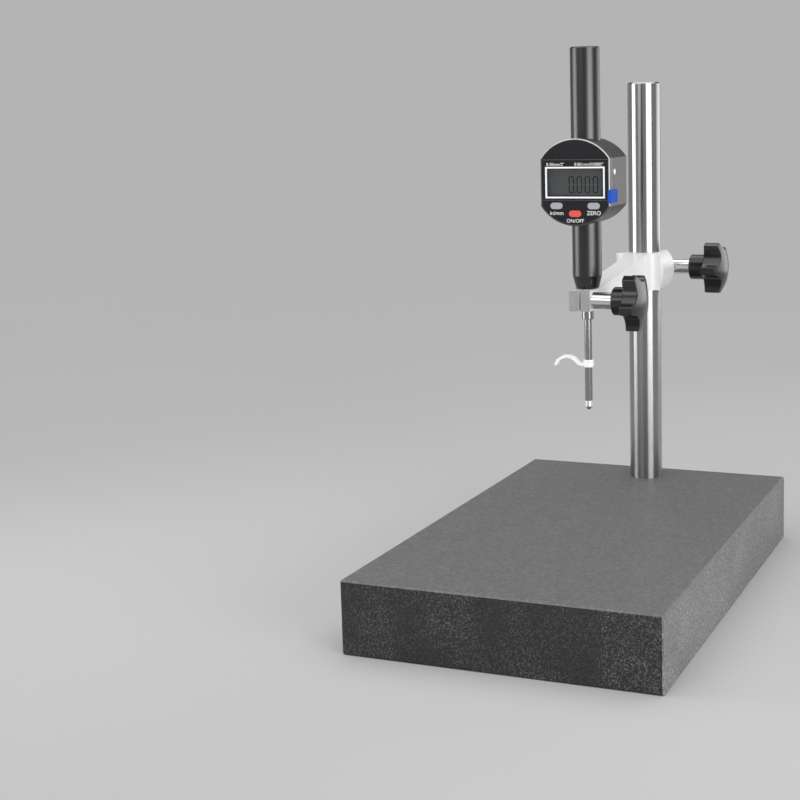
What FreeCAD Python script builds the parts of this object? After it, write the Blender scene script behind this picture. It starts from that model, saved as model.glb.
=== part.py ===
import FreeCAD
import Part
import math
import os

# Dial indicator stand: a granite base with a round steel column, a cast arm
# clamped on the column, and a long-travel digital indicator in the arm's end.
# Millimetres. X runs along the base's short side, Y from front to back, Z up.
# The origin is the centre of the base's underside.

# General clearances
FIT = 0.01            # radial gap of glued, pressed and screwed fits
RUNNING = 0.05        # radial gap of everything that turns or slides
LOOSE = 0.2           # radial gap of clearance holes

# Granite base
BASE_WIDTH = 200.0
BASE_LENGTH = 330.0
BASE_HEIGHT = 46.5
BASE_EDGE = 1.0
POCKET_DEPTH = 20.0

# Column and its fixing from below
COLUMN_DIAMETER = 24.0
COLUMN_STANDING = 294.0
COLUMN_FROM_BACK = 25.0
COLUMN_EDGE = 1.0
BOLT_DIAMETER = 12.0
BOLT_HEAD_DIAMETER = 18.0
BOLT_HEAD_HEIGHT = 8.0
BOLT_GRIP = 18.0      # how far the bolt goes into the column
BOLT_KEY = 10.0       # across the flats of the hexagon socket
BOLT_KEY_DEPTH = 5.0
BOLT_TIP_GAP = 5.0
WASHER_DIAMETER = 24.0
WASHER_THICKNESS = 2.5
COUNTERBORE_DEPTH = 12.0

# Arm casting
ARM_REACH = 133.0     # column axis to indicator axis
ARM_WIDTH = 14.2
ARM_FLARE = 9.5       # concave radius where the arm meets the collar
COLLAR_OVER_BASE = 156.8
COLLAR_RADIUS = 18.5
COLLAR_HEIGHT = 26.8
COLLAR_FRONT = 16.6   # in front of the column axis
COLLAR_BACK = 15.4    # behind the column axis
EAR_WIDTH = 24.0
EAR_HEIGHT = 23.0
EAR_NOSE = 9.0        # radius of the ears' round end
SPLIT = 1.6
BLOCK_HEIGHT = 13.5
BLOCK_DROP = 5.5      # block's mid height under the collar's
BLOCK_NOSE = 17.0     # block in front of the indicator axis
BLOCK_SPLIT = 1.7
CAST_EDGE = 1.0

# Clamp screws and knobs
REAR_CLAMP_BACK = 23.0
REAR_STUD_DIAMETER = 6.0
REAR_SPACER = 17.3
REAR_BOSS = 11.9
REAR_RIM = 10.7
REAR_DOME = 5.0
REAR_KNOB_TURN = -4.0
FRONT_CLAMP_AHEAD = 10.7
FRONT_STUD_DIAMETER = 5.0
FRONT_SPACER = 14.7
FRONT_BOSS = 8.9
FRONT_RIM = 8.6
FRONT_DOME = 3.4
FRONT_KNOB_TURN = -13.0
STUD_OVERHANG = 1.0
SPACER_DIAMETER = 11.0
KNOB_RADIUS = 19.3
KNOB_LOBES = 5
KNOB_LOBE_WIDTH = 5.8
KNOB_VALLEY = 13.2    # smallest radius, between two lobes
KNOB_CORNER = 1.0
KNOB_BOSS_DIAMETER = 18.6
KNOB_EDGE = 0.7
INSERT_WALL = 2.0
INSERT_IN_HEAD = 3.0  # how far the insert reaches past the boss

# Indicator housing
CASE_DIAMETER = 56.0
CASE_WIDTH = 46.8
CASE_FRONT = 22.8     # in front of the spindle axis
CASE_BACK = 14.1      # behind the spindle axis
CASE_OVER_BLOCK = 77.5
CASE_WALL = 2.4
CASE_REAR_WALL = 3.6
CASE_EDGE = 0.8
BEZEL_DEPTH = 8.2
BEZEL_WALL = 2.4
BEZEL_EDGE = 0.5
SEAM_EDGE = 0.25
SPIGOT_LENGTH = 2.0
SPIGOT_WALL = 1.2
SEAT_RING = 24.0      # outer diameter of the bosses that hold the tubes
SHELF = 3.6
TUBE_SEAT = 8.3       # how far a tube goes into the case

# Face
PLATE_THICKNESS = 0.6
PLATE_MARGIN = 1.0
LCD_SIDE = 4.3        # from the case's side to the window
LCD_HEIGHT = 18.1
LCD_FRAME = 1.05
LCD_FRAME_PROUD = 0.12
LENS_THICKNESS = 1.2
LENS_SET_BACK = 0.2
LENS_LEDGE = 0.8
PANEL_MARGIN = 1.5
PANEL_THICKNESS = 1.8
BUTTON_WIDTH = 8.3
BUTTON_HEIGHT = 4.2
BUTTON_PROUD = 0.6
BUTTON_TRAVEL = 0.8
BUTTON_GAP = 0.12
BUTTON_FLANGE = 0.6
BUTTON_FLANGE_THICKNESS = 0.8
BUTTON_STUB = 2.2
SIDE_BUTTON_X = 12.6
SIDE_BUTTON_DOWN = 15.0
POWER_BUTTON_DOWN = 20.0

# Inside the case
BOARD_THICKNESS = 1.6
BOARD_BEHIND_WALL = 4.0
BOARD_MARGIN = 4.0
MAT_THICKNESS = 1.6
POST_DIAMETER = 3.2
POST_UPPER = (12.0, 17.5)
POST_LOWER_DOWN = 14.2
SMALL_SCREW = 1.6
SMALL_SCREW_HEAD = 3.2
SMALL_SCREW_HEAD_HEIGHT = 1.2
SMALL_SCREW_GRIP = 2.4
CELL_DIAMETER = 11.6
CELL_HEIGHT = 5.4
CELL_HOLDER_WALL = 1.5
CELL_HOLDER_FLOOR = 0.6
CELL_FROM_EDGE = 7.4   # cell's middle to the board's left edge
CELL_UP = 2.0
SENSOR_HEIGHT = 20.0
SENSOR_UP = 2.3
SENSOR_GAP = 0.5
SENSOR_FROM_CELL = 0.3
SOCKET_WIDTH = 5.0
SOCKET_HEIGHT = 7.0
SOCKET_DEPTH = 5.0
GUIDE_DIAMETER = 3.0
GUIDE_X = 10.2
GUIDE_SEAT = 3.0

# Back cover
COVER_DIAMETER = 40.0
COVER_THICKNESS = 2.0
COVER_OPENING = 28.0
COVER_PCD = 33.5
COVER_SCREWS = 4
COVER_SCREW = 2.0
COVER_SCREW_HEAD = 3.8
COVER_SCREW_LENGTH = 5.0
GASKET_THICKNESS = 0.4

# Port cover and plug on the right side
PORT_HEIGHT = 8.3
PORT_DOWN = 9.0
PORT_PROUD = 1.2
PORT_FRONT_LIP = 1.0
PORT_LENGTH = 14.3
PORT_CORNER = 1.6
PORT_STUB = 3.8
PORT_STUB_WIDTH = 3.2
PORT_STUB_HEIGHT = 5.0
PORT_STUB_BEHIND_SEAM = 2.4
PLUG_DIAMETER = 3.6
PLUG_UP = 6.4
PLUG_PROUD = 0.3

# Tubes, stem and spindle
TUBE_DIAMETER = 19.4
TUBE_BORE = 16.6
UPPER_TUBE_TOP = 86.5  # over the case's middle
CAP_THICKNESS = 2.0
CAP_SPIGOT = 3.0
CAP_EDGE = 0.8
NOSE_HEIGHT = 8.4
NOSE_TIP_DIAMETER = 15.2
NOSE_EDGE = 1.0
NOSE_GAP = 0.2
STEM_DIAMETER = 8.0
STEM_UNDER_BLOCK = 7.2
STEM_FLANGE = 4.0
BUSH_LENGTH = 6.0
BUSH_OVER_SHELF = 2.0
SPINDLE_DIAMETER = 5.0
SPINDLE_STICK_OUT = 54.9
SPINDLE_FLANGE = 7.4
SPINDLE_FLANGE_HEIGHT = 2.0
SPINDLE_TRAVEL = 25.5  # the lever's clip then reaches the stem
CARRIER_WIDTH = 10.0
CARRIER_HEIGHT = 6.0
CARRIER_REAR = 4.5
CARRIER_LIFT = 0.3
SCALE_WIDTH = 6.0
SCALE_THICKNESS = 1.0
SCALE_SPARE = 17.5     # scale length beyond the travel
SCALE_AHEAD = 5.3
SPRING_WIRE_WIDTH = 1.0
SPRING_WIRE_HEIGHT = 0.6
SPRING_RADIUS = 3.0
SPRING_TURNS = 9

# Lift lever and contact point
LEVER_DIAMETER = 7.0
LEVER_HEIGHT = 5.0
LEVER_EDGE = 0.5
LEVER_OVER_TIP = 22.7
LEVER_BAND = 1.8
LEVER_BAND_WIDTH = 4.0
LEVER_HOOK_RADIUS = 8.5
LEVER_ROOT_RADIUS = 5.0
LEVER_HOOK_X = -14.6
LEVER_HOOK_UP = -4.3
LEVER_HOOK_END = 160.0
LEVER_HOOK_START = 39.0
LEVER_ROOT_END = 285.0
CONTACT_LENGTH = 4.5
CONTACT_DIAMETER = 5.0
CONTACT_TIP_DIAMETER = 3.6
CONTACT_SHANK = 2.5
CONTACT_SHANK_LENGTH = 6.0
BALL_RADIUS = 1.8
BALL_PROUD = 1.6

# Places that follow from the sizes
COLUMN_Y = BASE_LENGTH / 2 - COLUMN_FROM_BACK
COLUMN_BOTTOM = BASE_HEIGHT - POCKET_DEPTH
COLUMN_TOP = BASE_HEIGHT + COLUMN_STANDING
COLLAR_Z = BASE_HEIGHT + COLLAR_OVER_BASE
AXIS_Y = COLUMN_Y - ARM_REACH
BLOCK_Z = COLLAR_Z - BLOCK_DROP
BLOCK_TOP = BLOCK_Z + BLOCK_HEIGHT / 2
BLOCK_BOTTOM = BLOCK_Z - BLOCK_HEIGHT / 2
FRONT_CLAMP_Y = AXIS_Y - FRONT_CLAMP_AHEAD
REAR_CLAMP_Y = COLUMN_Y + REAR_CLAMP_BACK
CASE_Z = BLOCK_Z + CASE_OVER_BLOCK
CASE_FRONT_Y = AXIS_Y - CASE_FRONT
CASE_BACK_Y = AXIS_Y + CASE_BACK
SEAM_Y = CASE_FRONT_Y + BEZEL_DEPTH
FACE_WALL_Y = CASE_FRONT_Y + BEZEL_WALL
REAR_WALL_Y = CASE_BACK_Y - CASE_REAR_WALL
BOARD_Y = FACE_WALL_Y + BOARD_BEHIND_WALL
BOARD_BACK_Y = BOARD_Y + BOARD_THICKNESS
CASE_TOP = CASE_Z + CASE_DIAMETER / 2
CASE_BOTTOM = CASE_Z - CASE_DIAMETER / 2
UPPER_SEAT_Z = CASE_TOP - TUBE_SEAT
LOWER_SEAT_Z = CASE_BOTTOM + TUBE_SEAT
UPPER_SHELF_Z = UPPER_SEAT_Z - SHELF
LOWER_SHELF_Z = LOWER_SEAT_Z + SHELF
TUBE_TOP = CASE_Z + UPPER_TUBE_TOP
CAP_BOTTOM = TUBE_TOP - CAP_THICKNESS
SPRING_TOP = CAP_BOTTOM - CAP_SPIGOT
NOSE_BOTTOM = BLOCK_TOP + NOSE_GAP
NOSE_TOP = NOSE_BOTTOM + NOSE_HEIGHT
STEM_BOTTOM = BLOCK_BOTTOM - STEM_UNDER_BLOCK
SPINDLE_BOTTOM = STEM_BOTTOM - SPINDLE_STICK_OUT
BUSH_BOTTOM = UPPER_SEAT_Z + BUSH_OVER_SHELF
BUSH_TOP = BUSH_BOTTOM + BUSH_LENGTH
SPINDLE_TOP = BUSH_TOP + SPINDLE_FLANGE_HEIGHT + CARRIER_LIFT
LEVER_BOTTOM = SPINDLE_BOTTOM + LEVER_OVER_TIP
CARRIER_BOTTOM = LOWER_SHELF_Z + CARRIER_LIFT
SCALE_Y = AXIS_Y - SCALE_AHEAD
SCALE_LENGTH = SPINDLE_TRAVEL + SCALE_SPARE
LCD_WIDTH = CASE_WIDTH - 2 * LCD_SIDE
CELL_X = CELL_FROM_EDGE + BOARD_MARGIN - CASE_WIDTH / 2
SENSOR_WIDTH = 2 * (-CELL_X - CELL_DIAMETER / 2 - CELL_HOLDER_WALL - SENSOR_FROM_CELL)
POST_LOWER = (SIDE_BUTTON_X - BUTTON_WIDTH / 2 - BUTTON_FLANGE - LOOSE - POST_DIAMETER / 2, -POST_LOWER_DOWN)


def vec(x, y, z):
    return FreeCAD.Vector(x, y, z)


def box(x0, x1, y0, y1, z0, z1):
    return Part.makeBox(x1 - x0, y1 - y0, z1 - z0, vec(x0, y0, z0))


def cylinder_x(diameter, x0, x1, y, z):
    return Part.makeCylinder(diameter / 2, x1 - x0, vec(x0, y, z), vec(1, 0, 0))


def cylinder_y(diameter, y0, y1, x, z):
    return Part.makeCylinder(diameter / 2, y1 - y0, vec(x, y0, z), vec(0, 1, 0))


def cylinder_z(diameter, z0, z1, x, y):
    return Part.makeCylinder(diameter / 2, z1 - z0, vec(x, y, z0), vec(0, 0, 1))


def tube_z(outer, inner, z0, z1, x, y):
    return cylinder_z(outer, z0, z1, x, y).cut(cylinder_z(inner, z0, z1, x, y))


def wire(*edges):
    return Part.Wire([edge.toShape() for edge in edges])


def arc(a, b, c):
    return Part.Arc(a, b, c)


def line(a, b):
    return Part.LineSegment(a, b)


def polygon(points):
    return Part.Face(Part.makePolygon(points + [points[0]]))


def edges_where(shape, test):
    """The edges of a shape whose centre passes a test."""
    return [edge for edge in shape.Edges if test(edge.CenterOfMass, edge)]


def is_arc(edge):
    return isinstance(edge.Curve, Part.Circle)


def case_profile(inset, y):
    """Face of the case's outline, a circle with two upright flats, moved in by inset."""
    radius = CASE_DIAMETER / 2 - inset
    half = CASE_WIDTH / 2 - inset
    rise = math.sqrt(radius ** 2 - half ** 2)
    right_top = vec(half, y, CASE_Z + rise)
    left_top = vec(-half, y, CASE_Z + rise)
    left_bottom = vec(-half, y, CASE_Z - rise)
    right_bottom = vec(half, y, CASE_Z - rise)
    outline = wire(
        arc(right_top, vec(0, y, CASE_Z + radius), left_top),
        line(left_top, left_bottom),
        arc(left_bottom, vec(0, y, CASE_Z - radius), right_bottom),
        line(right_bottom, right_top),
    )
    return Part.Face(outline)


def case_block(inset, y0, y1):
    return case_profile(inset, y0).extrude(vec(0, y1 - y0, 0))


def pill(width, height, x, z, y0, y1):
    """A bar along Y with an outline of two half circles and two straight sides."""
    half = height / 2
    reach = width / 2 - half
    outline = wire(
        line(vec(x - reach, y0, z + half), vec(x + reach, y0, z + half)),
        arc(vec(x + reach, y0, z + half), vec(x + width / 2, y0, z), vec(x + reach, y0, z - half)),
        line(vec(x + reach, y0, z - half), vec(x - reach, y0, z - half)),
        arc(vec(x - reach, y0, z - half), vec(x - width / 2, y0, z), vec(x - reach, y0, z + half)),
    )
    return Part.Face(outline).extrude(vec(0, y1 - y0, 0))


def turned(profile, x, y, z, axis):
    """A solid of revolution: profile is a closed list of (radius, distance along the axis)."""
    if axis == "x":
        points = [vec(x + along, y + radius, z) for radius, along in profile]
        return polygon(points).revolve(vec(x, y, z), vec(1, 0, 0), 360)
    points = [vec(x + radius, y, z + along) for radius, along in profile]
    return polygon(points).revolve(vec(x, y, z), vec(0, 0, 1), 360)


# Granite base, washer, bolt and column
def granite_base():
    slab = box(-BASE_WIDTH / 2, BASE_WIDTH / 2, -BASE_LENGTH / 2, BASE_LENGTH / 2, 0, BASE_HEIGHT)
    slab = slab.makeChamfer(BASE_EDGE, slab.Edges)
    pocket = cylinder_z(COLUMN_DIAMETER + 2 * RUNNING, COLUMN_BOTTOM, BASE_HEIGHT, 0, COLUMN_Y)
    through = cylinder_z(BOLT_DIAMETER + 2 * LOOSE, 0, COLUMN_BOTTOM, 0, COLUMN_Y)
    sunk = cylinder_z(WASHER_DIAMETER + 2 * LOOSE, 0, COUNTERBORE_DEPTH, 0, COLUMN_Y)
    return slab.cut([pocket, through, sunk])


def column_washer():
    return tube_z(WASHER_DIAMETER, BOLT_DIAMETER + 2 * LOOSE,
                  COUNTERBORE_DEPTH - WASHER_THICKNESS, COUNTERBORE_DEPTH, 0, COLUMN_Y)


def column_bolt():
    seat = COUNTERBORE_DEPTH - WASHER_THICKNESS
    shank = cylinder_z(BOLT_DIAMETER, seat, COLUMN_BOTTOM + BOLT_GRIP, 0, COLUMN_Y)
    head = cylinder_z(BOLT_HEAD_DIAMETER, seat - BOLT_HEAD_HEIGHT, seat, 0, COLUMN_Y)
    corner = BOLT_KEY / math.sqrt(3)
    points = []
    for n in range(6):
        angle = math.radians(60 * n)
        points.append(vec(corner * math.cos(angle), COLUMN_Y + corner * math.sin(angle),
                          seat - BOLT_HEAD_HEIGHT))
    socket = polygon(points).extrude(vec(0, 0, BOLT_KEY_DEPTH))
    return shank.fuse(head).cut(socket).removeSplitter()


def column():
    bar = cylinder_z(COLUMN_DIAMETER, COLUMN_BOTTOM, COLUMN_TOP, 0, COLUMN_Y)
    bar = bar.makeChamfer(COLUMN_EDGE, edges_where(bar, lambda c, e: c.z > COLUMN_TOP - FIT))
    tapped = cylinder_z(BOLT_DIAMETER + 2 * RUNNING, COLUMN_BOTTOM,
                        COLUMN_BOTTOM + BOLT_GRIP + BOLT_TIP_GAP, 0, COLUMN_Y)
    return bar.cut(tapped)


# Arm casting: collar, tapering arm with a flared root, clamp block and split ears
def collar():
    half = COLLAR_HEIGHT / 2
    front = COLUMN_Y - COLLAR_FRONT
    back = COLUMN_Y + COLLAR_BACK
    barrel = cylinder_y(2 * COLLAR_RADIUS, front, back, 0, COLLAR_Z)
    barrel = barrel.common(box(-COLLAR_RADIUS, COLLAR_RADIUS, front, back, COLLAR_Z - half, COLLAR_Z + half))
    return barrel.makeFillet(CAST_EDGE, barrel.Edges)


def ears():
    half = EAR_HEIGHT / 2
    start = COLUMN_Y
    span = REAR_CLAMP_Y - start
    distance = math.hypot(span, half)
    turn = math.atan2(half, span) + math.acos(EAR_NOSE / distance)
    touch_y = REAR_CLAMP_Y - EAR_NOSE * math.cos(turn)
    touch_z = EAR_NOSE * math.sin(turn)
    x = -EAR_WIDTH / 2
    outline = wire(
        line(vec(x, start, COLLAR_Z - half), vec(x, touch_y, COLLAR_Z - touch_z)),
        arc(vec(x, touch_y, COLLAR_Z - touch_z), vec(x, REAR_CLAMP_Y + EAR_NOSE, COLLAR_Z),
            vec(x, touch_y, COLLAR_Z + touch_z)),
        line(vec(x, touch_y, COLLAR_Z + touch_z), vec(x, start, COLLAR_Z + half)),
        line(vec(x, start, COLLAR_Z + half), vec(x, start, COLLAR_Z - half)),
    )
    return Part.Face(outline).extrude(vec(EAR_WIDTH, 0, 0))


def arm_bar():
    """The arm in plan, with concave flares at the collar, cut to its tapering side view."""
    half = ARM_WIDTH / 2
    front = AXIS_Y - BLOCK_NOSE
    root = COLUMN_Y - COLLAR_FRONT
    bend = root - ARM_FLARE
    inside = root + COLLAR_FRONT / 2
    mid = ARM_FLARE * (1 - math.cos(math.radians(45)))
    low = COLLAR_Z - COLLAR_HEIGHT / 2
    plan = wire(
        line(vec(-half, front, low), vec(half, front, low)),
        line(vec(half, front, low), vec(half, bend, low)),
        arc(vec(half, bend, low), vec(half + mid, root - mid, low), vec(half + ARM_FLARE, root, low)),
        line(vec(half + ARM_FLARE, root, low), vec(half, inside, low)),
        line(vec(half, inside, low), vec(-half, inside, low)),
        line(vec(-half, inside, low), vec(-half - ARM_FLARE, root, low)),
        arc(vec(-half - ARM_FLARE, root, low), vec(-half - mid, root - mid, low), vec(-half, bend, low)),
        line(vec(-half, bend, low), vec(-half, front, low)),
    )
    slab = Part.Face(plan).extrude(vec(0, 0, COLLAR_HEIGHT))
    x = -COLLAR_RADIUS
    taper = AXIS_Y + STEM_DIAMETER
    side = polygon([
        vec(x, front, BLOCK_BOTTOM), vec(x, taper, BLOCK_BOTTOM),
        vec(x, root, COLLAR_Z - COLLAR_HEIGHT / 2), vec(x, inside, COLLAR_Z - COLLAR_HEIGHT / 2),
        vec(x, inside, COLLAR_Z + COLLAR_HEIGHT / 2), vec(x, root, COLLAR_Z + COLLAR_HEIGHT / 2),
        vec(x, taper, BLOCK_TOP), vec(x, front, BLOCK_TOP),
    ]).extrude(vec(2 * COLLAR_RADIUS, 0, 0))
    return slab.common(side)


def arm_casting():
    body = arm_bar().fuse([collar(), ears()]).removeSplitter()
    low = COLLAR_Z - COLLAR_RADIUS
    high = COLLAR_Z + COLLAR_RADIUS
    ear = EAR_WIDTH / 2
    half = ARM_WIDTH / 2
    front = AXIS_Y - BLOCK_NOSE
    bore = cylinder_z(COLUMN_DIAMETER + 2 * RUNNING, low, high, 0, COLUMN_Y)
    split = box(-SPLIT / 2, SPLIT / 2, COLUMN_Y, REAR_CLAMP_Y + 2 * EAR_NOSE, low, high)
    rear_tap = cylinder_x(REAR_STUD_DIAMETER + 2 * RUNNING, -ear, 0, REAR_CLAMP_Y, COLLAR_Z)
    rear_hole = cylinder_x(REAR_STUD_DIAMETER + 2 * LOOSE, 0, ear, REAR_CLAMP_Y, COLLAR_Z)
    stem_bore = cylinder_z(STEM_DIAMETER + 2 * RUNNING, low, high, 0, AXIS_Y)
    block_split = box(-BLOCK_SPLIT / 2, BLOCK_SPLIT / 2, front, AXIS_Y, low, high)
    front_tap = cylinder_x(FRONT_STUD_DIAMETER + 2 * RUNNING, -half, 0, FRONT_CLAMP_Y, BLOCK_Z)
    front_hole = cylinder_x(FRONT_STUD_DIAMETER + 2 * LOOSE, 0, half, FRONT_CLAMP_Y, BLOCK_Z)
    return body.cut([bore, split, rear_tap, rear_hole, stem_bore, block_split, front_tap, front_hole])


# Clamp screws: a threaded stud in a knob, and a spacer sleeve between the knob and the casting
def spacer(stud, x0, length, y, z):
    sleeve = cylinder_x(SPACER_DIAMETER, x0, x0 + length, y, z)
    return sleeve.cut(cylinder_x(stud + 2 * LOOSE, x0, x0 + length, y, z))


def star_face(x, y, z, turn):
    """Outline of the knob's head: lobes that end on a circle, and a round valley between each two."""
    half = math.pi / KNOB_LOBES
    tip = math.asin(KNOB_LOBE_WIDTH / 2 / KNOB_RADIUS)

    def place(radius, angle):
        return vec(x, y - radius * math.cos(angle), z + radius * math.sin(angle))

    curves = []
    for n in range(KNOB_LOBES):
        angle = math.radians(turn) + 2 * half * n
        start = place(KNOB_RADIUS, angle - tip)
        end = place(KNOB_RADIUS, angle + tip)
        onward = place(KNOB_RADIUS, angle + 2 * half - tip)
        curves.append(arc(start, place(KNOB_RADIUS, angle), end))
        curves.append(arc(end, place(KNOB_VALLEY, angle + half), onward))
    return Part.Face(wire(*curves))


def star_knob(x0, y, z, boss, rim, dome, turn, insert):
    """A moulded knob: round boss, star head with a domed face, and a blind hole for its insert."""
    head_x = x0 + boss
    head = star_face(head_x, y, z, turn).extrude(vec(rim + dome, 0, 0))
    middle = head_x + (rim + dome) / 2
    head = head.makeFillet(KNOB_CORNER, edges_where(head, lambda c, e: abs(c.x - middle) < FIT))
    ball = (KNOB_RADIUS ** 2 + dome ** 2) / (2 * dome)
    cap = Part.makeSphere(ball, vec(head_x + rim + dome - ball, y, z))
    head = head.common(cap)
    head = head.makeFillet(KNOB_EDGE, edges_where(head, lambda c, e: c.x < head_x + FIT or c.x > head_x + rim))
    neck = turned([(0, 0), (KNOB_BOSS_DIAMETER / 2 - KNOB_EDGE, 0), (KNOB_BOSS_DIAMETER / 2, KNOB_EDGE),
                   (KNOB_BOSS_DIAMETER / 2, boss + KNOB_EDGE), (0, boss + KNOB_EDGE)], x0, y, z, "x")
    hole = cylinder_x(insert + 2 * FIT, x0, head_x + INSERT_IN_HEAD, y, z)
    return head.fuse(neck).removeSplitter().cut(hole)


def knob_insert(stud, x0, boss, y, z):
    outer = cylinder_x(stud + 2 * INSERT_WALL, x0, x0 + boss + INSERT_IN_HEAD, y, z)
    return outer.cut(cylinder_x(stud + 2 * FIT, x0, x0 + boss + INSERT_IN_HEAD, y, z))


def clamp_set(stud, face_x, length, boss, rim, dome, turn, y, z):
    """The stud, insert, knob and spacer of one clamp, whose casting spans plus and minus face_x."""
    knob_x = face_x + length
    screw = cylinder_x(stud, -face_x - STUD_OVERHANG, knob_x + boss + INSERT_IN_HEAD, y, z)
    insert = knob_insert(stud, knob_x, boss, y, z)
    knob = star_knob(knob_x, y, z, boss, rim, dome, turn, stud + 2 * INSERT_WALL)
    return screw, insert, knob, spacer(stud, face_x, length, y, z)


# Indicator case: rear shell, front bezel, back cover
def tube_seats():
    """The two bosses that hold the tubes, with their inner shelves."""
    upper = cylinder_z(SEAT_RING, UPPER_SHELF_Z, CASE_TOP, 0, AXIS_Y)
    lower = cylinder_z(SEAT_RING, CASE_BOTTOM, LOWER_SHELF_Z, 0, AXIS_Y)
    return upper.fuse(lower)


def case_shell():
    shell = case_block(0, SEAM_Y, CASE_BACK_Y)
    shell = shell.makeChamfer(CASE_EDGE, edges_where(shell, lambda c, e: c.y > CASE_BACK_Y - FIT))
    shell = shell.makeChamfer(SEAM_EDGE, edges_where(shell, lambda c, e: c.y < SEAM_Y + FIT))
    cavity = case_block(CASE_WALL, SEAM_Y, REAR_WALL_Y)
    seats = tube_seats().common(case_block(CASE_WALL / 2, SEAM_Y, REAR_WALL_Y + FIT))
    shell = shell.cut(cavity).fuse(seats)
    through = cylinder_z(TUBE_BORE, CASE_BOTTOM, CASE_TOP, 0, AXIS_Y)
    upper = cylinder_z(TUBE_DIAMETER + 2 * FIT, UPPER_SEAT_Z, CASE_TOP, 0, AXIS_Y)
    lower = cylinder_z(TUBE_DIAMETER + 2 * FIT, CASE_BOTTOM, LOWER_SEAT_Z, 0, AXIS_Y)
    recess_y = CASE_BACK_Y - COVER_THICKNESS - GASKET_THICKNESS
    recess = cylinder_y(COVER_DIAMETER + 2 * FIT, recess_y, CASE_BACK_Y, 0, CASE_Z)
    opening = cylinder_y(COVER_OPENING, REAR_WALL_Y, CASE_BACK_Y, 0, CASE_Z)
    guide = cylinder_z(GUIDE_DIAMETER + 2 * FIT, LOWER_SHELF_Z - GUIDE_SEAT,
                       UPPER_SHELF_Z + GUIDE_SEAT, GUIDE_X, AXIS_Y)
    port = port_stub(LOOSE / 2, CASE_WALL + 1)
    plug = plug_bar(FIT, 0)
    cuts = [through, upper, lower, recess, opening, guide, port, plug] + cover_screw_bars(FIT)
    return shell.cut(cuts).removeSplitter()


def cover_screw_bars(gap):
    bars = []
    for n in range(COVER_SCREWS):
        angle = math.radians(45 + 360 / COVER_SCREWS * n)
        x = COVER_PCD / 2 * math.cos(angle)
        z = CASE_Z + COVER_PCD / 2 * math.sin(angle)
        bars.append(cylinder_y(COVER_SCREW + 2 * gap, CASE_BACK_Y - COVER_SCREW_LENGTH, CASE_BACK_Y, x, z))
    return bars


def cover_screw_heads(gap):
    heads = []
    depth = (COVER_SCREW_HEAD - COVER_SCREW) / 2
    for n in range(COVER_SCREWS):
        angle = math.radians(45 + 360 / COVER_SCREWS * n)
        x = COVER_PCD / 2 * math.cos(angle)
        z = CASE_Z + COVER_PCD / 2 * math.sin(angle)
        heads.append(Part.makeCone(COVER_SCREW / 2 + gap, COVER_SCREW_HEAD / 2 + gap, depth,
                                   vec(x, CASE_BACK_Y - depth, z), vec(0, 1, 0)))
    return heads


def back_cover():
    disc = cylinder_y(COVER_DIAMETER, CASE_BACK_Y - COVER_THICKNESS, CASE_BACK_Y, 0, CASE_Z)
    disc = disc.makeChamfer(CASE_EDGE / 2, edges_where(disc, lambda c, e: c.y > CASE_BACK_Y - FIT))
    return disc.cut(cover_screw_bars(FIT) + cover_screw_heads(FIT))


def cover_gasket():
    y = CASE_BACK_Y - COVER_THICKNESS
    ring = cylinder_y(COVER_DIAMETER, y - GASKET_THICKNESS, y, 0, CASE_Z)
    ring = ring.cut(cylinder_y(COVER_OPENING, y - GASKET_THICKNESS, y, 0, CASE_Z))
    return ring.cut(cover_screw_bars(LOOSE))


def cover_screws():
    screws = []
    for bar, head in zip(cover_screw_bars(0), cover_screw_heads(0)):
        screws.append(bar.fuse(head).removeSplitter())
    return Part.makeCompound(screws)


def lcd_block(margin, y0, y1):
    half_width = LCD_WIDTH / 2 + margin
    half_height = LCD_HEIGHT / 2 + margin
    return box(-half_width, half_width, y0, y1, CASE_Z - half_height, CASE_Z + half_height)


def button_places():
    return {
        "unit_button": (-SIDE_BUTTON_X, CASE_Z - SIDE_BUTTON_DOWN),
        "zero_button": (SIDE_BUTTON_X, CASE_Z - SIDE_BUTTON_DOWN),
        "power_button": (0, CASE_Z - POWER_BUTTON_DOWN),
    }


def button_holes():
    holes = []
    for x, z in button_places().values():
        holes.append(pill(BUTTON_WIDTH + 2 * BUTTON_GAP, BUTTON_HEIGHT + 2 * BUTTON_GAP, x, z,
                          CASE_FRONT_Y, FACE_WALL_Y))
    return holes


def post_places():
    places = []
    for across, up in (POST_UPPER, POST_LOWER):
        for side in (-1, 1):
            places.append((side * across, CASE_Z + up))
    return places


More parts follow.
